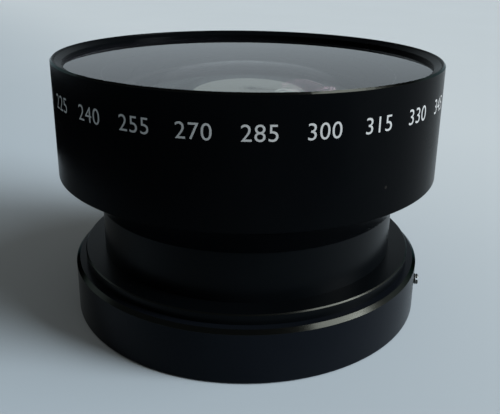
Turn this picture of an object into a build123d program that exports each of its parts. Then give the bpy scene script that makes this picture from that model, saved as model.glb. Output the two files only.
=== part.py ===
"""Wide-angle conversion lens: a stack of turned rings and glass on one optical axis.

Millimetres. +Z is the optical axis and points out of the front glass. The origin is the centre of the
rear face, on which the lens stands. The lock screw's axis points along +X.
"""
import os
from math import sqrt

from build123d import *

# Clearances
THREAD_GAP = 0.05
CELL_GAP = 0.05
FACE_GAP = 0.02
SCREW_GAP = 0.05

# Mount ring, the thick rear ring that clamps on the host lens
HOST_RADIUS = 40.0
CLAMP_WALL = 4.55
CLAMP_DEPTH = 9.0
MOUNT_THREAD_LENGTH = 3.9
RING_TOP_BEVEL = 0.85
RING_FOOT_BEVEL = 0.35
BORE_MOUTH_BEVEL = 0.5

# Rear housing: lower spigot, flange, neck and upper spigot
SEAT_STEP = 1.5
FLANGE_COVER = 3.6
FLANGE_HEIGHT = 2.4
FLANGE_EDGE = 0.25
NECK_INSET = 2.75
NECK_WALL = 7.2
SPIGOT_SHOULDER = 2.1
SPIGOT_LENGTH = 5.0
REAR_MOUTH_FLARE = 1.4

# Front barrel, outside
HUB_DEPTH = 8.3
HUB_OVERHANG = 0.65
HUB_SPREAD = 5.1
FOOT_SHELF = 4.0
BARREL_WALL = 1.65
BARREL_FOOT_EDGE = 0.3
RIM_EDGE = 0.2
RIM_WALL = 0.85
RIM_BEVEL_DROP = 1.1

# Rear pair, cemented, and its cell in the neck
REAR_RING_RECESS = 4.73
REAR_RING_HEIGHT = 3.6
REAR_RING_STEP = 1.2
REAR_RING_COVER = 2.0
FLINT_THICKNESS = 2.5
CROWN_EDGE = 1.42
PAIR_LIP_COVER = 1.7
PAIR_LIP = 1.2
PAIR_LIP_DROP = 5.0

# Second element and its cell in the hub
GLARE_STOP_HEIGHT = 0.4
SECOND_CELL_STEP = 0.65
SECOND_LIP_COVER = 2.1
SECOND_LIP = 1.2
SECOND_FLAT = 3.0
SECOND_THICKNESS = 3.0
RING_THREAD_STEP = 1.7
SECOND_RING_HEIGHT = 2.3

# Front element and its cell
FRONT_SEAT_RISE = 0.32
FRONT_FLAT = 9.8
FRONT_THICKNESS = 4.5
FRONT_LIP_COVER = 0.8
FRONT_SINK = 0.8
FRONT_SKIRT = 2.0
GLASS_EDGE = 0.3
SHIM_HEIGHT = 0.3
SHIM_WIDTH = 2.2
SEAL_WIDTH = 1.2
SEAL_GROOVE_DEPTH = 0.9

# Each glass surface's curve, as a multiple of the radius that it reaches
FRONT_CURVE_RATIO = 39.74
FRONT_HOLLOW_RATIO = 1.634
SECOND_CURVE_RATIO = 7.25
SECOND_HOLLOW_RATIO = 2.222
PAIR_FRONT_RATIO = 2.5
PAIR_CEMENT_RATIO = 3.0
PAIR_REAR_RATIO = 11.67

# Rear cushion, held in a groove at the bottom of the clamp bore
CUSHION_HEIGHT = 0.8
CUSHION_WIDTH = 7.2
CUSHION_GROOVE_DEPTH = 0.5
CUSHION_GAP = 0.1

# Slots for a ring spanner, two to a ring
SPANNER_SLOT_WIDTH = 1.6
SPANNER_SLOT_DEPTH = 0.9

# Grooves in the housing's throat that keep stray light down
GROOVE_PITCH = 0.9
GROOVE_DEPTH = 0.35
GROOVE_COUNT = 5

# Lock screw, a slotted grub screw, and its pad
LOCK_DROP = 2.6
SCREW_RADIUS = 1.45
SCREW_LENGTH = 5.0
SCREW_PROUD = 1.45
SCREW_END_BEVEL = 0.3
SCREW_SLOT_WIDTH = 0.45
SCREW_SLOT_DEPTH = 1.05
SCREW_SLOT_TILT = -27.0
PAD_LENGTH = 0.8
PAD_GAP = 0.05


def sag(curve, radius):
    """Depth of a spherical surface of the given curve at a radius from the axis."""
    return curve - sqrt(curve * curve - radius * radius)


# Radii that follow, from the clamp bore out to the front glass
RING_RADIUS = HOST_RADIUS + CLAMP_WALL
CUSHION_GROOVE_RADIUS = HOST_RADIUS + CUSHION_GROOVE_DEPTH
MOUNT_THREAD_RADIUS = HOST_RADIUS - SEAT_STEP
FLANGE_RADIUS = MOUNT_THREAD_RADIUS + FLANGE_COVER
NECK_RADIUS = HOST_RADIUS - NECK_INSET
SPIGOT_RADIUS = NECK_RADIUS - SPIGOT_SHOULDER
PAIR_RADIUS = NECK_RADIUS - NECK_WALL - CELL_GAP
PAIR_CLEAR_RADIUS = PAIR_RADIUS - PAIR_LIP_COVER
REAR_RING_RADIUS = PAIR_RADIUS + REAR_RING_STEP
REAR_RING_BORE = PAIR_RADIUS - REAR_RING_COVER
GLARE_STOP_RADIUS = PAIR_RADIUS
SECOND_RADIUS = SPIGOT_RADIUS - SECOND_CELL_STEP
SECOND_CLEAR_RADIUS = SECOND_RADIUS - SECOND_LIP_COVER
SECOND_HOLLOW_RADIUS = SECOND_RADIUS - SECOND_FLAT
SECOND_RING_RADIUS = SECOND_RADIUS + RING_THREAD_STEP
HUB_FOOT_RADIUS = NECK_RADIUS + HUB_OVERHANG
HUB_TOP_RADIUS = HUB_FOOT_RADIUS + HUB_SPREAD
BARREL_RADIUS = HUB_TOP_RADIUS + FOOT_SHELF
RIM_RADIUS = BARREL_RADIUS - RIM_EDGE
FRONT_RING_BORE = BARREL_RADIUS - RIM_WALL
FRONT_RADIUS = BARREL_RADIUS - BARREL_WALL - CELL_GAP
FRONT_CLEAR_RADIUS = FRONT_RADIUS - FRONT_LIP_COVER
FRONT_HOLLOW_RADIUS = FRONT_RADIUS - FRONT_FLAT

# Curves of the glass surfaces
FRONT_CURVE = FRONT_RADIUS * FRONT_CURVE_RATIO
FRONT_HOLLOW_CURVE = FRONT_HOLLOW_RADIUS * FRONT_HOLLOW_RATIO
SECOND_CURVE = SECOND_RADIUS * SECOND_CURVE_RATIO
SECOND_HOLLOW_CURVE = SECOND_HOLLOW_RADIUS * SECOND_HOLLOW_RATIO
PAIR_FRONT_CURVE = PAIR_RADIUS * PAIR_FRONT_RATIO
PAIR_CEMENT_CURVE = PAIR_RADIUS * PAIR_CEMENT_RATIO
PAIR_REAR_CURVE = PAIR_RADIUS * PAIR_REAR_RATIO

# Heights that follow, from the rear face up to the rear pair's cell
RING_HEIGHT = CLAMP_DEPTH + MOUNT_THREAD_LENGTH
FLANGE_TOP = RING_HEIGHT + FLANGE_HEIGHT
LOCK_HEIGHT = CLAMP_DEPTH - LOCK_DROP
REAR_RING_FOOT = CLAMP_DEPTH + REAR_RING_RECESS
REAR_RING_TOP = REAR_RING_FOOT + REAR_RING_HEIGHT
PAIR_REAR_VERTEX = REAR_RING_TOP + FACE_GAP - sag(PAIR_REAR_CURVE, REAR_RING_BORE)
CEMENT_VERTEX = PAIR_REAR_VERTEX + FLINT_THICKNESS
CROWN_EDGE_FOOT = CEMENT_VERTEX + sag(PAIR_CEMENT_CURVE, PAIR_RADIUS)
CROWN_EDGE_TOP = CROWN_EDGE_FOOT + CROWN_EDGE
CROWN_VERTEX = CROWN_EDGE_TOP + GLASS_EDGE + sag(PAIR_FRONT_CURVE, PAIR_RADIUS - GLASS_EDGE)
PAIR_SEAT = CROWN_VERTEX + FACE_GAP - sag(PAIR_FRONT_CURVE, PAIR_CLEAR_RADIUS)
PAIR_LIP_TOP = PAIR_SEAT + PAIR_LIP
SPIGOT_TOP = PAIR_LIP_TOP + PAIR_LIP_DROP
NECK_TOP = SPIGOT_TOP - SPIGOT_LENGTH
BARREL_FOOT = NECK_TOP + HUB_DEPTH

# Heights of the two front cells, and the rim that closes them
GLARE_STOP_TOP = SPIGOT_TOP + GLARE_STOP_HEIGHT
SECOND_SEAT = GLARE_STOP_TOP + SECOND_LIP
SECOND_HOLLOW_VERTEX = SECOND_SEAT + sag(SECOND_HOLLOW_CURVE, SECOND_HOLLOW_RADIUS)
SECOND_VERTEX = SECOND_HOLLOW_VERTEX + SECOND_THICKNESS
SECOND_RING_FOOT = SECOND_VERTEX - sag(SECOND_CURVE, SECOND_CLEAR_RADIUS) + FACE_GAP
SECOND_RING_TOP = SECOND_RING_FOOT + SECOND_RING_HEIGHT
FRONT_SEAT = SECOND_RING_TOP + FRONT_SEAT_RISE
FRONT_BACK = FRONT_SEAT + SHIM_HEIGHT
FRONT_HOLLOW_VERTEX = FRONT_BACK + sag(FRONT_HOLLOW_CURVE, FRONT_HOLLOW_RADIUS)
FRONT_VERTEX = FRONT_HOLLOW_VERTEX + FRONT_THICKNESS
FRONT_EDGE_TOP = FRONT_VERTEX - sag(FRONT_CURVE, FRONT_CLEAR_RADIUS)
FRONT_RING_FOOT = FRONT_EDGE_TOP - FRONT_SKIRT
BEVEL_FOOT = FRONT_EDGE_TOP + FRONT_SINK
RIM_TOP = BEVEL_FOOT + RIM_BEVEL_DROP

# The lock screw and pad, from the outside in
SCREW_TIP = RING_RADIUS + SCREW_PROUD
SCREW_END = SCREW_TIP - SCREW_LENGTH
PAD_BACK = SCREW_END - PAD_GAP
PAD_FACE = PAD_BACK - PAD_LENGTH


def turned(*outline):
    """A ring turned about the optical axis from a closed outline of (radius, height) points."""
    corners = [(radius, 0, height) for radius, height in outline]
    return revolve(make_face(Polyline(*corners, close=True)), Axis.Z, 360)


def on_screw_axis(*outline):
    """A pin turned about the lock screw's axis from an outline of (distance out, radius) points."""
    corners = [(out, 0, radius) for out, radius in outline]
    pin = revolve(make_face(Polyline(*corners, close=True)), Axis.X, 360)
    return Pos(0, 0, LOCK_HEIGHT) * pin


def surface(curve, vertex, radius, falls=True):
    """A glass surface as an arc from the axis outwards, falling or rising from its vertex."""
    side = -1 if falls else 1
    middle = radius / 2
    through = (middle, 0, vertex + side * sag(curve, middle))
    end = (radius, 0, vertex + side * sag(curve, radius))
    return ThreePointArc((0, 0, vertex), through, end)


def glass(top, bottom, *corners):
    """An element turned from its two surface arcs and the (radius, height) corners of its edge."""
    edge = Polyline(top @ 1, *[(radius, 0, height) for radius, height in corners], bottom @ 1)
    middle = Line(bottom @ 0, top @ 0)
    return revolve(make_face([middle, top, edge, bottom]), Axis.Z, 360)


def with_spanner_slots(ring, radius, face):
    """The ring with two opposite spanner slots cut into its open face."""
    slot = Box(3 * radius, SPANNER_SLOT_WIDTH, 2 * SPANNER_SLOT_DEPTH)
    return ring - Pos(0, 0, face) * slot


def throat_grooves(bore, top):
    """V-shaped rings one pitch apart, to cut into a bore downwards from its top."""
    half = GROOVE_PITCH * 0.4
    rings = []
    for step in range(GROOVE_COUNT):
        middle = top - (step + 0.5) * GROOVE_PITCH
        inside = bore - GROOVE_DEPTH
        rings.append(turned((inside, middle - half), (bore + GROOVE_DEPTH, middle), (inside, middle + half)))
    return rings


def bevel_height(radius):
    """Height of the rim's inward bevel at a radius, the same on the barrel and its ring."""
    return RIM_TOP - RIM_BEVEL_DROP * (RIM_RADIUS - radius) / (RIM_RADIUS - FRONT_CLEAR_RADIUS)


def front_barrel():
    """Straight barrel with a flat underside and a conical hub, and the two front cells inside."""
    thread_bore = SPIGOT_RADIUS + THREAD_GAP
    glass_bore = FRONT_RADIUS + CELL_GAP
    glass_bore_top = FRONT_RING_FOOT - FACE_GAP
    second_bore = SECOND_RADIUS + CELL_GAP
    second_ring_bore = SECOND_RING_RADIUS + THREAD_GAP
    second_bore_top = SECOND_RING_FOOT - FACE_GAP
    seal_outside = glass_bore - SHIM_WIDTH - CELL_GAP
    seal_inside = seal_outside - SEAL_WIDTH
    seal_floor = FRONT_SEAT - SEAL_GROOVE_DEPTH
    return turned(
        (thread_bore, NECK_TOP),
        (HUB_FOOT_RADIUS, NECK_TOP),
        (HUB_TOP_RADIUS, BARREL_FOOT),
        (BARREL_RADIUS - BARREL_FOOT_EDGE, BARREL_FOOT),
        (BARREL_RADIUS, BARREL_FOOT + BARREL_FOOT_EDGE),
        (BARREL_RADIUS, RIM_TOP - RIM_EDGE),
        (RIM_RADIUS, RIM_TOP),
        (FRONT_RING_BORE, bevel_height(FRONT_RING_BORE)),
        (FRONT_RING_BORE, glass_bore_top),
        (glass_bore, glass_bore_top),
        (glass_bore, FRONT_SEAT),
        (seal_outside, FRONT_SEAT),
        (seal_outside, seal_floor),
        (seal_inside, seal_floor),
        (seal_inside, FRONT_SEAT),
        (second_ring_bore, FRONT_SEAT),
        (second_ring_bore, second_bore_top),
        (second_bore, second_bore_top),
        (second_bore, SECOND_SEAT),
        (SECOND_CLEAR_RADIUS, SECOND_SEAT),
        (SECOND_CLEAR_RADIUS, GLARE_STOP_TOP),
        (thread_bore, GLARE_STOP_TOP),
    )


def front_retaining_ring():
    """Ring screwed in from the front: a skirt round the glass and a bevelled lip over its edge."""
    outside = FRONT_RING_BORE - THREAD_GAP
    skirt_bore = FRONT_RADIUS + CELL_GAP
    lip_foot = FRONT_EDGE_TOP + FACE_GAP
    return turned(
        (skirt_bore, FRONT_RING_FOOT),
        (outside, FRONT_RING_FOOT),
        (outside, bevel_height(outside)),
        (FRONT_CLEAR_RADIUS, BEVEL_FOOT),
        (FRONT_CLEAR_RADIUS, lip_foot),
        (skirt_bore, lip_foot),
    )


def front_element():
    """Large negative meniscus: nearly flat in front, a deep hollow behind and a flat seat round it."""
    top_radius = FRONT_RADIUS - GLASS_EDGE
    top = surface(FRONT_CURVE, FRONT_VERTEX, top_radius)
    hollow = surface(FRONT_HOLLOW_CURVE, FRONT_HOLLOW_VERTEX, FRONT_HOLLOW_RADIUS)
    edge_top = FRONT_VERTEX - sag(FRONT_CURVE, top_radius) - GLASS_EDGE
    return glass(top, hollow, (FRONT_RADIUS, edge_top), (FRONT_RADIUS, FRONT_BACK))


def front_shim():
    """Thin seat ring under the outer edge of the front element."""
    outside = FRONT_RADIUS
    inside = outside - SHIM_WIDTH + CELL_GAP
    return turned((inside, FRONT_SEAT), (outside, FRONT_SEAT), (outside, FRONT_BACK), (inside, FRONT_BACK))


def front_seal():
    """O-ring in its groove, against the back of the front element."""
    section = (SEAL_GROOVE_DEPTH + SHIM_HEIGHT) / 2 - FACE_GAP
    middle_radius = FRONT_RADIUS - SHIM_WIDTH - SEAL_WIDTH / 2
    middle_height = FRONT_BACK - FACE_GAP - section
    return Pos(0, 0, middle_height) * Torus(middle_radius, section)


def second_element():
    """Smaller negative glass in the hub, gently domed in front and hollow behind."""
    top_radius = SECOND_RADIUS - GLASS_EDGE
    top = surface(SECOND_CURVE, SECOND_VERTEX, top_radius)
    hollow = surface(SECOND_HOLLOW_CURVE, SECOND_HOLLOW_VERTEX, SECOND_HOLLOW_RADIUS)
    edge_top = SECOND_VERTEX - sag(SECOND_CURVE, top_radius) - GLASS_EDGE
    return glass(top, hollow, (SECOND_RADIUS, edge_top), (SECOND_RADIUS, SECOND_SEAT))


def second_retaining_ring():
    """Threaded ring over the second element, with spanner slots in front."""
    ring = turned(
        (SECOND_CLEAR_RADIUS, SECOND_RING_FOOT),
        (SECOND_RING_RADIUS, SECOND_RING_FOOT),
        (SECOND_RING_RADIUS, SECOND_RING_TOP),
        (SECOND_RADIUS, SECOND_RING_TOP),
    )
    return with_spanner_slots(ring, SECOND_RING_RADIUS, SECOND_RING_TOP)


def glare_stop():
    """Thin knife-edged ring held between the hub's lip and the housing's upper spigot."""
    outside = SPIGOT_RADIUS
    return turned(
        (GLARE_STOP_RADIUS, SPIGOT_TOP),
        (outside, SPIGOT_TOP),
        (outside, GLARE_STOP_TOP),
        (GLARE_STOP_RADIUS + GLARE_STOP_HEIGHT, GLARE_STOP_TOP),
    )


def rear_housing():
    """Neck and flange in one piece, with a threaded spigot at each end and the rear cell inside."""
    throat = PAIR_RADIUS + CELL_GAP
    ring_bore = REAR_RING_RADIUS + THREAD_GAP
    ring_bore_top = REAR_RING_TOP + FACE_GAP
    body = turned(
        (ring_bore + REAR_MOUTH_FLARE, CLAMP_DEPTH),
        (MOUNT_THREAD_RADIUS, CLAMP_DEPTH),
        (MOUNT_THREAD_RADIUS, RING_HEIGHT),
        (FLANGE_RADIUS, RING_HEIGHT),
        (FLANGE_RADIUS, FLANGE_TOP - FLANGE_EDGE),
        (FLANGE_RADIUS - FLANGE_EDGE, FLANGE_TOP),
        (NECK_RADIUS, FLANGE_TOP),
        (NECK_RADIUS, NECK_TOP),
        (SPIGOT_RADIUS, NECK_TOP),
        (SPIGOT_RADIUS, SPIGOT_TOP),
        (throat, SPIGOT_TOP),
        (throat, PAIR_LIP_TOP),
        (PAIR_CLEAR_RADIUS, PAIR_LIP_TOP),
        (PAIR_CLEAR_RADIUS, PAIR_SEAT),
        (throat, PAIR_SEAT),
        (throat, ring_bore_top),
        (ring_bore, ring_bore_top),
        (ring_bore, REAR_RING_FOOT - THREAD_GAP),
    )
    return body - throat_grooves(throat, SPIGOT_TOP)


def doublet_crown():
    """Thick front half of the rear pair, domed on both sides."""
    top_radius = PAIR_RADIUS - GLASS_EDGE
    top = surface(PAIR_FRONT_CURVE, CROWN_VERTEX, top_radius)
    cement = surface(PAIR_CEMENT_CURVE, CEMENT_VERTEX, PAIR_RADIUS, falls=False)
    return glass(top, cement, (PAIR_RADIUS, CROWN_EDGE_TOP))


def doublet_flint():
    """Rear half of the pair: it takes the crown's back in a hollow of the same curve."""
    foot_radius = PAIR_RADIUS - GLASS_EDGE
    cement = surface(PAIR_CEMENT_CURVE, CEMENT_VERTEX, PAIR_RADIUS, falls=False)
    rear = surface(PAIR_REAR_CURVE, PAIR_REAR_VERTEX, foot_radius, falls=False)
    edge_foot = PAIR_REAR_VERTEX + sag(PAIR_REAR_CURVE, foot_radius) + GLASS_EDGE
    return glass(cement, rear, (PAIR_RADIUS, edge_foot))


def rear_retaining_ring():
    """Threaded ring under the rear pair, with spanner slots behind."""
    ring = turned(
        (PAIR_RADIUS, REAR_RING_FOOT),
        (REAR_RING_RADIUS, REAR_RING_FOOT),
        (REAR_RING_RADIUS, REAR_RING_TOP),
        (REAR_RING_BORE, REAR_RING_TOP),
    )
    return with_spanner_slots(ring, REAR_RING_RADIUS, REAR_RING_FOOT)


def rear_cushion():
    """Soft ring at the bottom of the clamp bore, which the rim of the host lens comes up against."""
    outside = CUSHION_GROOVE_RADIUS - CUSHION_GAP
    inside = outside - CUSHION_WIDTH
    foot = CLAMP_DEPTH - CUSHION_HEIGHT
    return turned((inside, foot), (outside, foot), (outside, CLAMP_DEPTH), (inside, CLAMP_DEPTH))


def mount_ring():
    """Thick rear ring: clamp bore, cushion groove, thread for the housing and a tapped hole at the side."""
    thread_bore = MOUNT_THREAD_RADIUS + THREAD_GAP
    groove_foot = CLAMP_DEPTH - CUSHION_HEIGHT - CUSHION_GAP
    ring = turned(
        (HOST_RADIUS + BORE_MOUTH_BEVEL, 0),
        (RING_RADIUS - RING_FOOT_BEVEL, 0),
        (RING_RADIUS, RING_FOOT_BEVEL),
        (RING_RADIUS, RING_HEIGHT - RING_TOP_BEVEL),
        (RING_RADIUS - RING_TOP_BEVEL, RING_HEIGHT),
        (thread_bore, RING_HEIGHT),
        (thread_bore, CLAMP_DEPTH),
        (CUSHION_GROOVE_RADIUS, CLAMP_DEPTH),
        (CUSHION_GROOVE_RADIUS, groove_foot),
        (HOST_RADIUS, groove_foot),
        (HOST_RADIUS, BORE_MOUTH_BEVEL),
    )
    hole_radius = SCREW_RADIUS + SCREW_GAP
    inside = HOST_RADIUS - CLAMP_WALL / 4
    outside = RING_RADIUS + CLAMP_WALL / 4
    hole = on_screw_axis((inside, 0), (inside, hole_radius), (outside, hole_radius), (outside, 0))
    return ring - hole


def lock_screw():
    """Slotted grub screw with both ends bevelled."""
    neck = SCREW_RADIUS - SCREW_END_BEVEL
    body = on_screw_axis(
        (SCREW_END, 0),
        (SCREW_END, neck),
        (SCREW_END + SCREW_END_BEVEL, SCREW_RADIUS),
        (SCREW_TIP - SCREW_END_BEVEL, SCREW_RADIUS),
        (SCREW_TIP, neck),
        (SCREW_TIP, 0),
    )
    slot = Box(2 * SCREW_SLOT_DEPTH, 4 * SCREW_RADIUS, SCREW_SLOT_WIDTH)
    return body - Pos(SCREW_TIP, 0, LOCK_HEIGHT) * Rot(SCREW_SLOT_TILT, 0, 0) * slot


def lock_pad():
    """Short brass plug that the screw presses on the host lens."""
    return on_screw_axis((PAD_FACE, 0), (PAD_FACE, SCREW_RADIUS), (PAD_BACK, SCREW_RADIUS), (PAD_BACK, 0))


PIECES = [
    front_barrel,
    front_retaining_ring,
    front_element,
    front_shim,
    front_seal,
    second_element,
    second_retaining_ring,
    glare_stop,
    rear_housing,
    doublet_crown,
    doublet_flint,
    rear_retaining_ring,
    rear_cushion,
    mount_ring,
    lock_screw,
    lock_pad,
]


def main():
    """Write each piece as its own file."""
    os.makedirs("parts", exist_ok=True)
    for piece in PIECES:
        export_step(piece(), f"parts/{piece.__name__}.step")


main()
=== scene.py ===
"""Looks of a wide-angle conversion lens: finishes, glass, numerals, screw thread, table, light, camera.

Metres. +Z is the optical axis and points out of the front glass, and the lens stands on the table at
z = 0. The lock screw's axis points along +X.
"""
import math

import bmesh
import bpy
from mathutils import Matrix, Vector


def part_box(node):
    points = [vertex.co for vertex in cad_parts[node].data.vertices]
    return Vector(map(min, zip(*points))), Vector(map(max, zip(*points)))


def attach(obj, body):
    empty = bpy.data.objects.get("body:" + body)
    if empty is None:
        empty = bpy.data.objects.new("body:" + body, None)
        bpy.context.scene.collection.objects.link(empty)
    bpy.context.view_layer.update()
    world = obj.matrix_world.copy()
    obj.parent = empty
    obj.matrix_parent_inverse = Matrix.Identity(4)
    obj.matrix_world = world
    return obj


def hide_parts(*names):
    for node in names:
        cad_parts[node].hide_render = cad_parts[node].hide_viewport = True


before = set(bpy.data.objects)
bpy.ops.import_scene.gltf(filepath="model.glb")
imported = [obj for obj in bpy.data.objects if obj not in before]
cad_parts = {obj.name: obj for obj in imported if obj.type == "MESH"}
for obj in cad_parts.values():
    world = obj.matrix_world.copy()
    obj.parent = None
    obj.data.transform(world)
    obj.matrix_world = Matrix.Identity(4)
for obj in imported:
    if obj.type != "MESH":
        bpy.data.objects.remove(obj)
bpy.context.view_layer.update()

MM = 0.001

# The camera, as it stood for the photograph: pixels, degrees and metres
PHOTO_SIZE = (500, 414)
FOCAL_PIXELS = 639.59
AXIS_PIXEL = (267.09, 159.77)
CAMERA_AZIMUTH = 12.5
CAMERA_DISTANCE = 158.393 * MM
CAMERA_HEIGHT = 87.088 * MM
CAMERA_PITCH = 18.007
CAMERA_PAN = 1.754
CAMERA_ROLL = 1.132
CAMERA_NEAREST = 0.01
CAMERA_FARTHEST = 100.0
SENSOR_WIDTH = 36.0

# Barrel and numeral band; the weight and spacing are shares of a numeral's size and width
BARREL_RADIUS = 47.0 * MM
NUMERAL_FOOT = 54.25 * MM
NUMERAL_SIZE = 4.7 * MM
NUMERAL_WEIGHT = -0.003
NUMERAL_SPACING = 1.06
NUMERAL_STEP = 15
INK_LIFT = 0.012 * MM

# Edges broken with a 45 degree bevel, as (lowest height, least radius) of the bevel's face. The rim's is
# made wider here; a point within the tolerance of the rim's top counts as on it.
RIM_BREAK = 0.4 * MM
RIM_TOLERANCE = 0.05 * MM
RIM_BREAK_FACE = (62.90 * MM, 46.59 * MM)
FLANGE_BREAK_FACE = (15.05 * MM, 41.84 * MM)
MOUNT_BREAK_FACE = (12.04 * MM, 43.69 * MM)

# Meshes: points closer than this are one, and edges steeper than these angles in degrees stay sharp
MERGE_WITHIN = 0.001 * MM
BARREL_SHARP_ANGLE = 20.0
TURNED_SHARP_ANGLE = 12.0
SCREW_SHARP_ANGLE = 35.0

# Window: (azimuth, elevation, spread, strength) of its lower and upper panes, with the camera at -Y
LOWER_PANE = (-18.2, 22.0, 30.0, 5.14)
UPPER_PANE = (-12.0, 49.0, 34.0, 0.98)
WINDOW_COLOUR = (0.97, 1.0, 1.03)

# Room: the fill that lights the surfaces is a share of its colour that grows from the horizon upwards
ROOM_FILL = (0.224, 0.208, 0.189)
FILL_AT_HORIZON = 0.2
FILL_OVERHEAD = 1.45

# What gloss and glass show: a dim room, and a pale backdrop behind the lens. The backdrop fades in by how
# far a ray points away from the photograph's camera, and fades out by how far it points up.
DIM_ROOM = (0.04, 0.045, 0.05)
BACKDROP_MIRRORED = (0.41, 0.475, 0.515)
BACKDROP_SEEN = (0.50, 0.565, 0.60)
BACKDROP_AWAY = (-0.2, 0.5)
BACKDROP_UP = (0.50, 0.42)

# Table top: painted shade and light, its tone running darker to the front left and lighter to the back
# right, along a direction given with the camera at -Y, with a faint mottle; seen through the glass it glows
# one plain tone, painted light
TABLE_PAINTED_LIGHT_RUN = (0.85, 0.53, 0.0)
TABLE_PAINTED_LIGHT_ENDS = (-110.0 * MM, 210.0 * MM)
TABLE_PAINTED_SHADE_TONE = (0.332, 0.400, 0.450)
TABLE_PAINTED_LIGHT_TONE = (0.517, 0.579, 0.612)
TABLE_MOTTLE_LOW = (0.97, 0.97, 0.97)
TABLE_MOTTLE_HIGH = (1.03, 1.03, 1.03)
TABLE_GLOW_THROUGH_GLASS = (0.165, 0.180, 0.168)
TABLE_HALF_WIDTH = 6.0

# Dark screen, painted shade seen only in gloss: an upright arc round the lens, in degrees from the camera's
# side towards the right
SCREEN_RADIUS = 150.0 * MM
SCREEN_HEIGHT = 40.0 * MM
SCREEN_FROM = -138.0
SCREEN_TO = 48.0
SCREEN_STEPS = 36

# Lock screw, an M3 grub screw whose axis is along +X. FLANK_SLOPE above 1 leaves a flat at the thread's
# root, and END_BEVEL is how far below the root its ends start.
SCREW_TIP = 45.7 * MM
SCREW_AXIS_HEIGHT = 6.4 * MM
SLOT_TILT = -27.0
SCREW_SIDES = 72
SCREW_ROWS = 120
FLANK_SLOPE = 1.15
END_BEVEL = 0.05 * MM
SCREW_SIZES = {
    "Pitch": 0.5 * MM,
    "Thread Depth": 0.27 * MM,
    "Crest Radius": 1.45 * MM,
    "Length": 4.7 * MM,
    "Slot Width": 0.45 * MM,
    "Slot Depth": 0.7 * MM,
}

# The two front glasses: front and back surfaces as (curve, height at the axis, radius), and the edge, in mm
FRONT_SURFACES = ((1800.2, 61.956, 45.0), (58.0, 57.456, 35.5))
FRONT_EDGE = ((45.3, 61.09), (45.3, 45.32))
SECOND_SURFACES = ((250.1, 44.49, 34.2), (70.0, 41.49, 31.5))
SECOND_EDGE = ((34.5, 41.84), (34.5, 34.0))
GLASS_RINGS = 40
GLASS_STEPS = 240

# Black ink on the ground edges of the glass, as (radius, height) in mm just inside the glass
FRONT_INK = ((35.55, 45.334), (45.29, 45.334), (45.29, 61.08), (45.0, 61.38))
SECOND_INK = ((31.55, 34.012), (34.49, 34.012), (34.49, 41.9), (34.2, 42.1))
PAIR_INK = ((29.99, 17.9), (29.99, 25.27))

# Thin black mask under the rear retaining ring, as (radius, height) in mm
REAR_MASK = ((19.5, 13.70), (30.5, 13.70), (30.5, 13.55), (19.5, 13.55), (19.5, 13.70))
INK_STEPS = 256

# A speck of dust on the barrel: degrees round from +X, height and radius
SPECK_TURN = -41.25
SPECK_HEIGHT = 42.3 * MM
SPECK_SIZE = 0.34 * MM
SPECK_COLOUR = (0.010, 0.010, 0.0095)

# Anodised black: the colours of dust and of bare broken edges, how much smoother an edge is, and how far
# the mottle runs the roughness
DUST_COLOUR = (0.10, 0.11, 0.115)
BARE_EDGE = (0.044, 0.046, 0.040)
EDGE_SMOOTHER = 0.08
ANODISED_ROUGH_RANGE = 0.06

# Tint of the light that the lamps send through the glass
GLASS_SHADOW = (0.985, 0.985, 0.98)


def set_inputs(node, **values):
    """Set a node's sockets by name, with _ for a space; a colour of three numbers gets full alpha."""
    for key, value in values.items():
        socket = node.inputs[key.replace("_", " ")]
        if socket.type == "RGBA":
            socket.default_value = (*value, 1.0)
        else:
            socket.default_value = value


def join_up(tree, source, target):
    """A link from an output socket to an input socket."""
    tree.links.new(source, target)


def do_math(tree, operation, *values):
    """A Math node whose inputs are sockets or plain numbers."""
    node = tree.nodes.new("ShaderNodeMath")
    node.operation = operation
    for socket, value in zip(node.inputs, values):
        if isinstance(value, (int, float)):
            socket.default_value = value
        else:
            join_up(tree, value, socket)
    return node.outputs[0]


def split_vector(tree, source):
    """The X, Y and Z of a vector socket."""
    node = tree.nodes.new("ShaderNodeSeparateXYZ")
    join_up(tree, source, node.inputs[0])
    return node.outputs


def turned_point(tree, radius, angle, height):
    """A position from a radius, an angle and a height."""
    point = tree.nodes.new("ShaderNodeCombineXYZ")
    join_up(tree, do_math(tree, "MULTIPLY", radius, do_math(tree, "COSINE", angle)), point.inputs["X"])
    join_up(tree, do_math(tree, "MULTIPLY", radius, do_math(tree, "SINE", angle)), point.inputs["Y"])
    join_up(tree, height, point.inputs["Z"])
    return point.outputs[0]


def measure_with(tree, operation, source, vector):
    """A number from a vector socket and a fixed vector: their distance or dot product."""
    node = tree.nodes.new("ShaderNodeVectorMath")
    node.operation = operation
    node.inputs[1].default_value = vector
    join_up(tree, source, node.inputs[0])
    return node.outputs["Value"]


def map_range(tree, source, ends, results=(0.0, 1.0), shape="LINEAR"):
    """Values of source between two ends, mapped between two results."""
    node = tree.nodes.new("ShaderNodeMapRange")
    node.interpolation_type = shape
    set_inputs(node, From_Min=ends[0], From_Max=ends[1], To_Min=results[0], To_Max=results[1])
    join_up(tree, source, node.inputs["Value"])
    return node.outputs["Result"]


def spread_noise(tree, source, low, high):
    """Noise, which lies mostly between 0.3 and 0.7, spread from low to high."""
    return map_range(tree, source, (0.3, 0.7), (low, high))


def mix_colours(tree, factor, first, second, blend="MIX"):
    """Colour that goes from first to second by a factor socket, or blends them in full."""
    mix = tree.nodes.new("ShaderNodeMix")
    mix.data_type = "RGBA"
    mix.blend_type = blend
    if factor is None:
        mix.inputs["Factor"].default_value = 1.0
    else:
        join_up(tree, factor, mix.inputs["Factor"])
    for socket, value in ((mix.inputs[6], first), (mix.inputs[7], second)):
        if isinstance(value, tuple):
            socket.default_value = (*value, 1.0)
        else:
            join_up(tree, value, socket)
    return mix.outputs[2]


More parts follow.
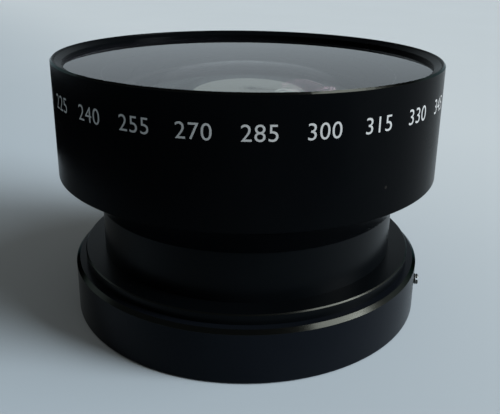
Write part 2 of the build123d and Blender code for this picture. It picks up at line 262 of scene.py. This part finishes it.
def add_noise(tree, place, scale, detail, roughness):
    """Noise between 0 and 1 at the coordinates, with its scale from a socket."""
    noise = tree.nodes.new("ShaderNodeTexNoise")
    set_inputs(noise, Detail=detail, Roughness=roughness)
    join_up(tree, place, noise.inputs["Vector"])
    join_up(tree, scale, noise.inputs["Scale"])
    return noise.outputs["Fac"]


def add_bump(tree, shader, height, strength, depth):
    """Bump on the shader from a height socket."""
    bump = tree.nodes.new("ShaderNodeBump")
    set_inputs(bump, Strength=strength, Distance=depth)
    join_up(tree, height, bump.inputs["Height"])
    join_up(tree, bump.outputs["Normal"], shader.inputs["Normal"])


def switch_surface(tree, ray, usual, instead):
    """The usual shader, or another one for the kind of ray named."""
    path = tree.nodes.new("ShaderNodeLightPath")
    switch = tree.nodes.new("ShaderNodeMixShader")
    join_up(tree, path.outputs[ray], switch.inputs[0])
    join_up(tree, usual.outputs[0], switch.inputs[1])
    join_up(tree, instead.outputs[0], switch.inputs[2])
    join_up(tree, switch.outputs[0], tree.nodes["Material Output"].inputs["Surface"])


def new_material(name):
    """A material with nodes, and its Principled shader."""
    material = bpy.data.materials.new(name)
    material.use_nodes = True
    tree = material.node_tree
    return material, tree, tree.nodes["Principled BSDF"]


def object_place(tree):
    """The object's own coordinates."""
    return tree.nodes.new("ShaderNodeTexCoord").outputs["Object"]


def new_group(name, values, outputs):
    """A shader node group that takes coordinates and named numbers, and gives named numbers."""
    group = bpy.data.node_groups.new(name, "ShaderNodeTree")
    group.interface.new_socket("Place", in_out="INPUT", socket_type="NodeSocketVector")
    for label, value in values.items():
        socket = group.interface.new_socket(label, in_out="INPUT", socket_type="NodeSocketFloat")
        socket.default_value = value
    for label in outputs:
        group.interface.new_socket(label, in_out="OUTPUT", socket_type="NodeSocketFloat")
    start = group.nodes.new("NodeGroupInput")
    end = group.nodes.new("NodeGroupOutput")
    return group, start.outputs, end.inputs


def place_group(tree, group, place, **values):
    """The group placed in a material, fed with the coordinates and its own values."""
    node = tree.nodes.new("ShaderNodeGroup")
    node.node_tree = group
    join_up(tree, place, node.inputs["Place"])
    set_inputs(node, **values)
    return node.outputs


def make_grain_group():
    """Fine blasted grain: a height for bump, and a slow mottle between 0 and 1."""
    values = {"Grain Scale": 5000.0, "Mottle Scale": 90.0}
    group, given, wanted = new_group("Blasted Grain", values, ["Height", "Mottle"])
    height = add_noise(group, given["Place"], given["Grain Scale"], detail=3.0, roughness=0.6)
    mottle = add_noise(group, given["Place"], given["Mottle Scale"], detail=4.0, roughness=0.55)
    join_up(group, height, wanted["Height"])
    join_up(group, mottle, wanted["Mottle"])
    return group


def make_dust_group():
    """Sparse pale specks of dust, as a mask: a share of the cells has a speck at its middle."""
    values = {"Speck Scale": 700.0, "Speck Size": 0.05, "Share": 0.03}
    group, given, wanted = new_group("Dust Specks", values, ["Mask"])
    cells = group.nodes.new("ShaderNodeTexVoronoi")
    split = group.nodes.new("ShaderNodeSeparateColor")
    join_up(group, given["Place"], cells.inputs["Vector"])
    join_up(group, given["Speck Scale"], cells.inputs["Scale"])
    join_up(group, cells.outputs["Color"], split.inputs["Color"])
    near = do_math(group, "LESS_THAN", cells.outputs["Distance"], given["Speck Size"])
    chosen = do_math(group, "LESS_THAN", split.outputs["Red"], given["Share"])
    join_up(group, do_math(group, "MULTIPLY", near, chosen), wanted["Mask"])
    return group


def make_break_group():
    """Mask of a bevelled edge turned round the optical axis: above a height and outside a radius."""
    group, given, wanted = new_group("Broken Edge", {"Lowest": 0.0, "Least Radius": 0.0}, ["Mask"])
    along = split_vector(group, given["Place"])
    across = do_math(group, "MULTIPLY", along["X"], along["X"])
    deep = do_math(group, "MULTIPLY", along["Y"], along["Y"])
    radius = do_math(group, "SQRT", do_math(group, "ADD", across, deep))
    high = do_math(group, "GREATER_THAN", along["Z"], given["Lowest"])
    outside = do_math(group, "GREATER_THAN", radius, given["Least Radius"])
    join_up(group, do_math(group, "MULTIPLY", high, outside), wanted["Mask"])
    return group


GRAIN = make_grain_group()
DUST = make_dust_group()
BROKEN_EDGE = make_break_group()


def add_speck(tree, place, colour):
    """The colour with one faint speck of dust on the barrel."""
    turn = math.radians(SPECK_TURN)
    spot = Vector((BARREL_RADIUS * math.cos(turn), BARREL_RADIUS * math.sin(turn), SPECK_HEIGHT))
    near = do_math(tree, "LESS_THAN", measure_with(tree, "DISTANCE", place, spot), SPECK_SIZE)
    return mix_colours(tree, near, colour, SPECK_COLOUR)


def make_anodised(name, dark, light, level, tint, break_face, smooth=0.22, speck=False):
    """Satin black anodised aluminium, blasted fine, with a little dust and a bare glint on its edge."""
    material, tree, shader = new_material(name)
    place = object_place(tree)
    grain = place_group(tree, GRAIN, place, Grain_Scale=5200.0, Mottle_Scale=70.0)
    dust = place_group(tree, DUST, place, Speck_Scale=420.0, Speck_Size=0.045, Share=0.006)
    edge = place_group(tree, BROKEN_EDGE, place, Lowest=break_face[0], Least_Radius=break_face[1])["Mask"]
    colour = mix_colours(tree, grain["Mottle"], dark, light)
    if speck:
        colour = add_speck(tree, place, colour)
    colour = mix_colours(tree, dust["Mask"], colour, DUST_COLOUR)
    join_up(tree, mix_colours(tree, edge, colour, BARE_EDGE), shader.inputs["Base Color"])
    join_up(tree, edge, shader.inputs["Metallic"])
    rough = spread_noise(tree, grain["Mottle"], smooth, smooth + ANODISED_ROUGH_RANGE)
    cut = do_math(tree, "MULTIPLY", edge, EDGE_SMOOTHER)
    join_up(tree, do_math(tree, "SUBTRACT", rough, cut), shader.inputs["Roughness"])
    set_inputs(shader, Specular_IOR_Level=level, Specular_Tint=tint)
    add_bump(tree, shader, grain["Height"], strength=0.25, depth=0.01 * MM)
    return material


def make_finish(name, scales, dark, light, rough=None, bump=None, **sockets):
    """A plain mottled finish.

    The scales are those of the grain and the mottle. The mottle runs the colour from dark to light and the
    roughness between two values, the grain gives a bump of a strength and a depth, and what else the
    shader needs is set on its own sockets.
    """
    material, tree, shader = new_material(name)
    grain = place_group(tree, GRAIN, object_place(tree), Grain_Scale=scales[0], Mottle_Scale=scales[1])
    join_up(tree, mix_colours(tree, grain["Mottle"], dark, light), shader.inputs["Base Color"])
    if rough:
        join_up(tree, spread_noise(tree, grain["Mottle"], *rough), shader.inputs["Roughness"])
    if bump:
        add_bump(tree, shader, grain["Height"], *bump)
    set_inputs(shader, **sockets)
    return material


def make_glass(name, tint, coating):
    """Coated optical glass that lets the lamps through; the coating dims and colours its reflections."""
    material, tree, shader = new_material(name)
    set_inputs(shader, Base_Color=tint, Specular_Tint=coating)
    set_inputs(shader, Transmission_Weight=1.0, Roughness=0.0, IOR=1.52)
    clear = tree.nodes.new("ShaderNodeBsdfTransparent")
    set_inputs(clear, Color=GLASS_SHADOW)
    switch_surface(tree, "Is Shadow Ray", shader, clear)
    return material


BARREL_BLACK = make_anodised(
    "black_anodised",
    dark=(0.0011, 0.0015, 0.0019),
    light=(0.0018, 0.0022, 0.0027),
    level=0.022,
    tint=(0.48, 0.54, 0.55),
    break_face=RIM_BREAK_FACE,
    speck=True,
)
HOUSING_BLACK = make_anodised(
    "black_anodised_housing",
    dark=(0.0010, 0.0015, 0.0020),
    light=(0.0018, 0.0024, 0.0030),
    level=0.09,
    tint=(0.39, 0.43, 0.44),
    break_face=FLANGE_BREAK_FACE,
    smooth=0.27,
)
MOUNT_BLACK = make_anodised(
    "black_anodised_mount",
    dark=(0.0027, 0.0037, 0.0056),
    light=(0.0041, 0.0054, 0.0076),
    level=0.07,
    tint=(0.28, 0.32, 0.33),
    break_face=MOUNT_BREAK_FACE,
)

# Matt black paint of the cells and stops
INNER_BLACK = make_finish(
    "black_inner",
    scales=(3800.0, 120.0),
    dark=(0.003, 0.003, 0.004),
    light=(0.006, 0.006, 0.007),
    rough=(0.6, 0.75),
    bump=(0.3, 0.015 * MM),
    Specular_IOR_Level=0.1,
)

# Dull black rubber of the seal and the cushion
RUBBER = make_finish(
    "seal_rubber",
    scales=(2600.0, 150.0),
    dark=(0.012, 0.012, 0.012),
    light=(0.022, 0.022, 0.021),
    rough=(0.65, 0.85),
    bump=(0.35, 0.02 * MM),
)

# Bare machined metal of the lock screw and its pad
STEEL = make_finish(
    "screw_steel",
    scales=(6500.0, 900.0),
    dark=(0.10, 0.112, 0.107),
    light=(0.17, 0.183, 0.178),
    rough=(0.44, 0.56),
    bump=(0.2, 0.006 * MM),
    Metallic=1.0,
)
BRASS = make_finish(
    "pad_brass",
    scales=(6500.0, 900.0),
    dark=(0.52, 0.37, 0.16),
    light=(0.66, 0.48, 0.22),
    rough=(0.24, 0.36),
    bump=(0.2, 0.006 * MM),
    Metallic=1.0,
)

# White ink of the numerals, slightly uneven
INK = make_finish(
    "white_ink",
    scales=(4200.0, 400.0),
    dark=(0.305, 0.322, 0.324),
    light=(0.355, 0.372, 0.374),
    rough=(0.5, 0.62),
    bump=(0.2, 0.01 * MM),
)

# Matt black ink that meets the glass with no shine of its own
EDGE_INK = make_finish(
    "edge_ink",
    scales=(3000.0, 200.0),
    dark=(0.002, 0.002, 0.003),
    light=(0.004, 0.004, 0.005),
    Roughness=0.9,
    Specular_IOR_Level=0.0,
)

FRONT_GLASS = make_glass("coated_glass", tint=(0.985, 0.99, 0.985), coating=(0.22, 0.08, 0.13))
SECOND_GLASS = make_glass("coated_glass_second", tint=(0.985, 0.99, 0.99), coating=(0.80, 0.90, 0.85))
PAIR_GLASS = make_glass("coated_glass_pair", tint=(0.985, 0.99, 0.99), coating=(0.05, 0.02, 0.05))

# Finish and record slot of every CAD node
FINISHES = {
    "front_barrel": (BARREL_BLACK, "black_anodised"),
    "front_retaining_ring": (BARREL_BLACK, "black_anodised"),
    "rear_housing": (HOUSING_BLACK, "black_anodised"),
    "mount_ring": (MOUNT_BLACK, "black_anodised"),
    "front_element": (FRONT_GLASS, "coated_glass"),
    "second_element": (SECOND_GLASS, "coated_glass"),
    "doublet_crown": (PAIR_GLASS, "coated_glass"),
    "doublet_flint": (PAIR_GLASS, "coated_glass"),
    "second_retaining_ring": (INNER_BLACK, "black_inner"),
    "rear_retaining_ring": (INNER_BLACK, "black_inner"),
    "glare_stop": (INNER_BLACK, "black_inner"),
    "front_shim": (INNER_BLACK, "black_film"),
    "front_seal": (RUBBER, "seal_rubber"),
    "rear_cushion": (RUBBER, "seal_rubber"),
    "lock_screw": (STEEL, "screw_steel"),
    "lock_pad": (BRASS, "pad_brass"),
}


def dress_nodes():
    """Give every CAD node its finish."""
    for name, (material, slot) in FINISHES.items():
        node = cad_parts[name]
        node.data.materials.clear()
        node.data.materials.append(material)


def add_object(name, data):
    """A new object in the scene."""
    thing = bpy.data.objects.new(name, data)
    bpy.context.scene.collection.objects.link(thing)
    return thing


def plain_mesh(maker):
    """The mesh that a text or an object with modifiers makes; the object itself goes."""
    graph = bpy.context.evaluated_depsgraph_get()
    mesh = bpy.data.meshes.new_from_object(maker.evaluated_get(graph), depsgraph=graph)
    bpy.data.objects.remove(maker)
    return mesh


def smooth_faces(mesh, sharp_angle):
    """Smooth shading, with the edges sharp that turn more than an angle in degrees."""
    mesh.shade_smooth()
    mesh.set_sharp_from_angle(angle=math.radians(sharp_angle))


def new_tree(name, sizes):
    """A geometry node tree with named sizes, its input sockets and its output socket."""
    tree = bpy.data.node_groups.new(name, "GeometryNodeTree")
    tree.interface.new_socket("Geometry", in_out="INPUT", socket_type="NodeSocketGeometry")
    for label, value in sizes.items():
        socket = tree.interface.new_socket(label, in_out="INPUT", socket_type="NodeSocketFloat")
        socket.default_value = value
    tree.interface.new_socket("Geometry", in_out="OUTPUT", socket_type="NodeSocketGeometry")
    start = tree.nodes.new("NodeGroupInput")
    end = tree.nodes.new("NodeGroupOutput")
    return tree, start.outputs, end.inputs["Geometry"]


def finish_tree(tree, geometry, end, material):
    """End a tree in Realize Instances and Set Material."""
    realize = tree.nodes.new("GeometryNodeRealizeInstances")
    paint = tree.nodes.new("GeometryNodeSetMaterial")
    paint.inputs["Material"].default_value = material
    join_up(tree, geometry, realize.inputs["Geometry"])
    join_up(tree, realize.outputs["Geometry"], paint.inputs["Geometry"])
    join_up(tree, paint.outputs["Geometry"], end)


def run_tree(mesh, tree, sizes, name):
    """A plain mesh object made by the tree from a starting mesh."""
    seed = add_object(name + "_seed", mesh)
    modifier = seed.modifiers.new("Nodes", "NODES")
    modifier.node_group = tree
    for item in tree.interface.items_tree:
        if item.in_out == "INPUT" and item.name in sizes:
            modifier[item.identifier] = sizes[item.name]
    made = plain_mesh(seed)
    made.name = name
    return add_object(name, made)


def make_wrap_tree(sizes):
    """Wraps a flat strip round the barrel: x runs round, y runs up, and the ink stands just proud."""
    tree, given, end = new_tree("Wrap Round Barrel", sizes)
    flat = split_vector(tree, tree.nodes.new("GeometryNodeInputPosition").outputs[0])
    radius = do_math(tree, "ADD", given["Barrel Radius"], given["Ink Lift"])
    angle = do_math(tree, "DIVIDE", flat["X"], given["Barrel Radius"])
    height = do_math(tree, "ADD", given["Band Foot"], flat["Y"])
    move = tree.nodes.new("GeometryNodeSetPosition")
    join_up(tree, given["Geometry"], move.inputs["Geometry"])
    join_up(tree, turned_point(tree, radius, angle, height), move.inputs["Position"])
    finish_tree(tree, move.outputs["Geometry"], end, INK)
    return tree


def make_numeral_strip():
    """The numerals of the scale side by side in one flat mesh, centred on their marks."""
    verts = []
    faces = []
    for degrees in range(0, 360, NUMERAL_STEP):
        text = bpy.data.curves.new("numeral", "FONT")
        text.body = str(degrees)
        text.size = NUMERAL_SIZE
        text.offset = NUMERAL_WEIGHT * NUMERAL_SIZE
        text.align_x = "CENTER"
        text.space_character = NUMERAL_SPACING
        flat = plain_mesh(add_object("numeral", text))
        start = len(verts)
        along = math.radians(degrees) * BARREL_RADIUS
        verts.extend((v.co.x + along, v.co.y, 0.0) for v in flat.vertices)
        faces.extend([start + i for i in polygon.vertices] for polygon in flat.polygons)
        bpy.data.curves.remove(text)
        bpy.data.meshes.remove(flat)
    strip = bpy.data.meshes.new("numeral_strip")
    strip.from_pydata(verts, [], faces)
    return strip


def add_numeral_band():
    """White numerals round the barrel."""
    sizes = {"Barrel Radius": BARREL_RADIUS, "Band Foot": NUMERAL_FOOT, "Ink Lift": INK_LIFT}
    band = run_tree(make_numeral_strip(), make_wrap_tree(sizes), sizes, "numeral_band")
    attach(band, "lens")


def add_worn_barrel():
    """The barrel with the outer edge of its rim broken wider, as long handling leaves it."""
    _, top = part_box("front_barrel")
    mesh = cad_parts["front_barrel"].data.copy()
    mesh.name = "worn_front_barrel"
    work = bmesh.new()
    work.from_mesh(mesh)
    bmesh.ops.remove_doubles(work, verts=work.verts, dist=MERGE_WITHIN)
    for vert in work.verts:
        radius = math.hypot(vert.co.x, vert.co.y)
        if vert.co.z < top[2] - RIM_BREAK or radius < BARREL_RADIUS - RIM_BREAK:
            continue
        if vert.co.z > top[2] - RIM_TOLERANCE:
            inward = (BARREL_RADIUS - RIM_BREAK) / radius
            vert.co.x *= inward
            vert.co.y *= inward
        else:
            vert.co.z = top[2] - RIM_BREAK
    work.to_mesh(mesh)
    work.free()
    smooth_faces(mesh, BARREL_SHARP_ANGLE)
    piece = add_object("worn_front_barrel", mesh)
    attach(piece, "lens")
    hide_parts("front_barrel")


def turn_outline(name, outline, steps, material):
    """A piece on the lens turned from a (radius, height) outline in mm.

    An outline that starts on the axis or ends where it started makes a closed piece.
    """
    verts = []
    for step in range(steps):
        turn = 2 * math.pi * step / steps
        for radius, height in outline:
            verts.append((radius * MM * math.cos(turn), radius * MM * math.sin(turn), height * MM))
    rows = len(outline)
    faces = []
    for step in range(steps):
        here = step * rows
        after = (step + 1) % steps * rows
        for row in range(rows - 1):
            faces.append((here + row, after + row, after + row + 1, here + row + 1))
    mesh = bpy.data.meshes.new(name)
    mesh.from_pydata(verts, [], faces)
    mesh.materials.append(material)
    if outline[0][0] == 0.0 or outline[0] == outline[-1]:
        work = bmesh.new()
        work.from_mesh(mesh)
        bmesh.ops.remove_doubles(work, verts=work.verts, dist=MERGE_WITHIN)
        bmesh.ops.recalc_face_normals(work, faces=work.faces)
        work.to_mesh(mesh)
        work.free()
        smooth_faces(mesh, TURNED_SHARP_ANGLE)
    piece = add_object(name, mesh)
    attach(piece, "lens")
    return piece


def surface_points(curve, vertex, radius):
    """Points of a spherical glass surface that falls away from the axis."""
    points = []
    for ring in range(GLASS_RINGS + 1):
        out = radius * ring / GLASS_RINGS
        points.append((out, vertex - curve + math.sqrt(curve * curve - out * out)))
    return points


def add_glass(name, node, surfaces, edge, material):
    """A front glass as a finely turned mesh, so that its surfaces mirror and bend light smoothly."""
    front, back = surfaces
    outline = [*surface_points(*front), *edge, *reversed(surface_points(*back))]
    piece = turn_outline(name, outline, GLASS_STEPS, material)
    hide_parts(node)


def make_screw_tree():
    """Grub screw: a cylinder whose skin follows a helical thread, bevelled ends and a cut slot."""
    tree, given, end = new_tree("Threaded Grub Screw", SCREW_SIZES)
    blank = tree.nodes.new("GeometryNodeMeshCylinder")
    set_inputs(blank, Vertices=SCREW_SIDES, Side_Segments=SCREW_ROWS, Radius=1.0, Depth=1.0)
    place = split_vector(tree, tree.nodes.new("GeometryNodeInputPosition").outputs[0])
    # From the blank's outer end inwards; the wave runs from crest to root and back in each pitch
    along = do_math(tree, "MULTIPLY", do_math(tree, "SUBTRACT", 0.5, place["Z"]), given["Length"])
    turn = do_math(tree, "ARCTAN2", place["Y"], place["X"])
    turns = do_math(tree, "DIVIDE", turn, 2 * math.pi)
    phase = do_math(tree, "ADD", do_math(tree, "DIVIDE", along, given["Pitch"]), turns)
    wave = do_math(tree, "PINGPONG", do_math(tree, "MULTIPLY", phase, 2.0), 1.0)
    flank = do_math(tree, "MINIMUM", do_math(tree, "MULTIPLY", wave, FLANK_SLOPE), 1.0)
    cut = do_math(tree, "MULTIPLY", flank, given["Thread Depth"])
    thread = do_math(tree, "SUBTRACT", given["Crest Radius"], cut)
    to_end = do_math(tree, "MINIMUM", along, do_math(tree, "SUBTRACT", given["Length"], along))
    root = do_math(tree, "SUBTRACT", given["Crest Radius"], given["Thread Depth"])
    bevel = do_math(tree, "ADD", do_math(tree, "SUBTRACT", root, END_BEVEL), to_end)
    radius = do_math(tree, "MINIMUM", thread, bevel)
    skin = tree.nodes.new("GeometryNodeSetPosition")
    join_up(tree, blank.outputs["Mesh"], skin.inputs["Geometry"])
    depth = do_math(tree, "MULTIPLY", along, -1.0)
    join_up(tree, turned_point(tree, radius, turn, depth), skin.inputs["Position"])
    # The slot's cutter is wider than the screw and stands half above its end
    cutter = tree.nodes.new("GeometryNodeMeshCube")
    size = tree.nodes.new("ShaderNodeCombineXYZ")
    join_up(tree, do_math(tree, "MULTIPLY", given["Crest Radius"], 3.0), size.inputs["X"])
    join_up(tree, given["Slot Width"], size.inputs["Y"])
    join_up(tree, do_math(tree, "MULTIPLY", given["Slot Depth"], 2.0), size.inputs["Z"])
    join_up(tree, size.outputs[0], cutter.inputs["Size"])
    slotted = tree.nodes.new("GeometryNodeMeshBoolean")
    slotted.operation = "DIFFERENCE"
    slotted.solver = "MANIFOLD"
    join_up(tree, skin.outputs["Geometry"], slotted.inputs["Mesh 1"])
    join_up(tree, cutter.outputs["Mesh"], slotted.inputs["Mesh 2"])
    finish_tree(tree, slotted.outputs["Mesh"], end, STEEL)
    return tree


def add_lock_screw():
    """The threaded screw in the plain one's place, its slot tilted as the photograph shows."""
    seed = bpy.data.meshes.new("empty")
    screw = run_tree(seed, make_screw_tree(), SCREW_SIZES, "threaded_lock_screw")
    outward = Matrix.Rotation(math.radians(90.0), 4, "Y")
    tilt = Matrix.Rotation(math.radians(SLOT_TILT + 90.0), 4, "X")
    shift = Matrix.Translation((SCREW_TIP, 0.0, SCREW_AXIS_HEIGHT))
    screw.data.transform(shift @ tilt @ outward)
    smooth_faces(screw.data, SCREW_SHARP_ANGLE)
    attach(screw, "screw")
    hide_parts("lock_screw")


def place_camera():
    """The camera where the photograph was taken from."""
    pitch = math.radians(CAMERA_PITCH)
    pan = math.radians(CAMERA_PAN)
    forward = Vector((math.sin(pan) * math.cos(pitch), math.cos(pan) * math.cos(pitch), -math.sin(pitch)))
    level = Vector((math.cos(pan), -math.sin(pan), 0.0))
    upright = level.cross(forward)
    roll = math.radians(CAMERA_ROLL)
    right = level * math.cos(roll) + upright * math.sin(roll)
    up = upright * math.cos(roll) - level * math.sin(roll)
    pose = Matrix((right, up, -forward)).transposed().to_4x4()
    pose.translation = Vector((0.0, -CAMERA_DISTANCE, CAMERA_HEIGHT))
    data = bpy.data.cameras.new("camera")
    data.sensor_fit = "HORIZONTAL"
    data.sensor_width = SENSOR_WIDTH
    data.lens = FOCAL_PIXELS / PHOTO_SIZE[0] * SENSOR_WIDTH
    data.shift_x = (PHOTO_SIZE[0] / 2 - AXIS_PIXEL[0]) / PHOTO_SIZE[0]
    data.shift_y = (AXIS_PIXEL[1] - PHOTO_SIZE[1] / 2) / PHOTO_SIZE[0]
    data.clip_start = CAMERA_NEAREST
    data.clip_end = CAMERA_FARTHEST
    camera = add_object("camera", data)
    camera.matrix_world = Matrix.Rotation(math.radians(CAMERA_AZIMUTH), 4, "Z") @ pose
    bpy.context.scene.camera = camera


def in_view_frame(x, y, z):
    """A point given with the camera at -Y, turned to where the camera stands."""
    return Matrix.Rotation(math.radians(CAMERA_AZIMUTH), 4, "Z") @ Vector((x, y, z))


def make_table_material():
    """Pale table with painted shade and light running across it, its mottle, and a painted glow through
    glass.
    """
    material, tree, shader = new_material("pale_table")
    place = object_place(tree)
    grain = place_group(tree, GRAIN, place, Grain_Scale=900.0, Mottle_Scale=6.0)
    # Painted shade and light: the table's tone runs from darker at the front left to lighter at the back
    # right
    across = measure_with(tree, "DOT_PRODUCT", place, in_view_frame(*TABLE_PAINTED_LIGHT_RUN))
    run = map_range(tree, across, TABLE_PAINTED_LIGHT_ENDS, shape="SMOOTHSTEP")
    pale = mix_colours(tree, run, TABLE_PAINTED_SHADE_TONE, TABLE_PAINTED_LIGHT_TONE)
    mottle = mix_colours(tree, grain["Mottle"], TABLE_MOTTLE_LOW, TABLE_MOTTLE_HIGH)
    join_up(tree, mix_colours(tree, None, pale, mottle, "MULTIPLY"), shader.inputs["Base Color"])
    set_inputs(shader, Roughness=0.75, Specular_IOR_Level=0.2)
    # Painted light: rays through the glass see the table glow with one plain tone
    through = tree.nodes.new("ShaderNodeEmission")
    set_inputs(through, Color=TABLE_GLOW_THROUGH_GLASS)
    switch_surface(tree, "Is Transmission Ray", shader, through)
    return material


def add_table():
    """Plain pale table top."""
    half = TABLE_HALF_WIDTH
    mesh = bpy.data.meshes.new("table_top")
    corners = [(-half, -half, 0), (half, -half, 0), (half, half, 0), (-half, half, 0)]
    mesh.from_pydata(corners, [], [(0, 1, 2, 3)])
    mesh.materials.append(make_table_material())
    add_object("table_top", mesh)


def make_world():
    """Pale backdrop behind the lens and dim room in front, and a dim fill for the surfaces themselves."""
    world = bpy.data.worlds.new("surround")
    bpy.context.scene.world = world
    world.use_nodes = True
    tree = world.node_tree
    tree.nodes.clear()
    path = tree.nodes.new("ShaderNodeLightPath").outputs
    direction = tree.nodes.new("ShaderNodeTexCoord").outputs["Generated"]
    rise = split_vector(tree, direction)["Z"]
    away = measure_with(tree, "DOT_PRODUCT", direction, in_view_frame(0.0, 1.0, 0.0))
    far_side = map_range(tree, away, BACKDROP_AWAY, shape="SMOOTHSTEP")
    below_top = map_range(tree, rise, BACKDROP_UP, shape="SMOOTHSTEP")
    glossy = do_math(tree, "MULTIPLY", path["Is Glossy Ray"], below_top)
    shows_backdrop = do_math(tree, "MAXIMUM", glossy, path["Is Transmission Ray"])
    mirrored = do_math(tree, "MULTIPLY", shows_backdrop, far_side)
    pale = do_math(tree, "MAXIMUM", mirrored, path["Is Camera Ray"])
    backdrop = mix_colours(tree, path["Is Camera Ray"], BACKDROP_MIRRORED, BACKDROP_SEEN)
    share = map_range(tree, rise, (0.0, 1.0), (FILL_AT_HORIZON, FILL_OVERHEAD))
    fill = mix_colours(tree, None, ROOM_FILL, share, "MULTIPLY")
    seen = do_math(tree, "MAXIMUM", path["Is Glossy Ray"], path["Is Transmission Ray"])
    room = mix_colours(tree, seen, fill, DIM_ROOM)
    light = tree.nodes.new("ShaderNodeBackground")
    out = tree.nodes.new("ShaderNodeOutputWorld")
    join_up(tree, mix_colours(tree, pale, room, backdrop), light.inputs["Color"])
    join_up(tree, light.outputs[0], out.inputs["Surface"])


def add_window_pane(name, azimuth, elevation, spread, strength):
    """Broad daylight from the right, from one pane of a tall window."""
    data = bpy.data.lights.new(name, "SUN")
    data.energy = strength
    data.angle = math.radians(spread)
    data.color = WINDOW_COLOUR
    lamp = add_object(name, data)
    turn = math.radians(azimuth)
    rise = math.radians(elevation)
    toward = in_view_frame(math.cos(turn) * math.cos(rise), math.sin(turn) * math.cos(rise), math.sin(rise))
    lamp.rotation_mode = "QUATERNION"
    lamp.rotation_quaternion = (-toward).to_track_quat("-Z", "Y")


def add_dark_screen():
    """Dark curved screen in front of the lens and to its left, which only its sides mirror: painted shade
    in the reflections.
    """
    material, _, shader = new_material("painted_shade_screen")
    set_inputs(shader, Base_Color=(0.003, 0.003, 0.003), Roughness=0.9, Specular_IOR_Level=0.0)
    verts = []
    for step in range(SCREEN_STEPS + 1):
        turn = math.radians(SCREEN_FROM + (SCREEN_TO - SCREEN_FROM) * step / SCREEN_STEPS)
        right = SCREEN_RADIUS * math.sin(turn)
        away = -SCREEN_RADIUS * math.cos(turn)
        verts.append(in_view_frame(right, away, 0.0))
        verts.append(in_view_frame(right, away, SCREEN_HEIGHT))
    faces = [(2 * step, 2 * step + 2, 2 * step + 3, 2 * step + 1) for step in range(SCREEN_STEPS)]
    mesh = bpy.data.meshes.new("painted_shade_screen")
    mesh.from_pydata(verts, [], faces)
    mesh.materials.append(material)
    screen = add_object("painted_shade_screen", mesh)
    screen.visible_camera = False
    screen.visible_diffuse = False
    screen.visible_transmission = False
    screen.visible_shadow = False


bpy.context.scene.view_settings.view_transform = "Standard"
dress_nodes()
add_worn_barrel()
add_numeral_band()
add_glass("fine_front_element", "front_element", FRONT_SURFACES, FRONT_EDGE, FRONT_GLASS)
add_glass("fine_second_element", "second_element", SECOND_SURFACES, SECOND_EDGE, SECOND_GLASS)
turn_outline("front_edge_ink", FRONT_INK, INK_STEPS, EDGE_INK)
turn_outline("second_edge_ink", SECOND_INK, INK_STEPS, EDGE_INK)
turn_outline("pair_edge_ink", PAIR_INK, INK_STEPS, EDGE_INK)
turn_outline("rear_mask", REAR_MASK, INK_STEPS, EDGE_INK)
add_lock_screw()
add_table()
make_world()
add_window_pane("window_lower_pane", *LOWER_PANE)
add_window_pane("window_upper_pane", *UPPER_PANE)
add_dark_screen()
place_camera()
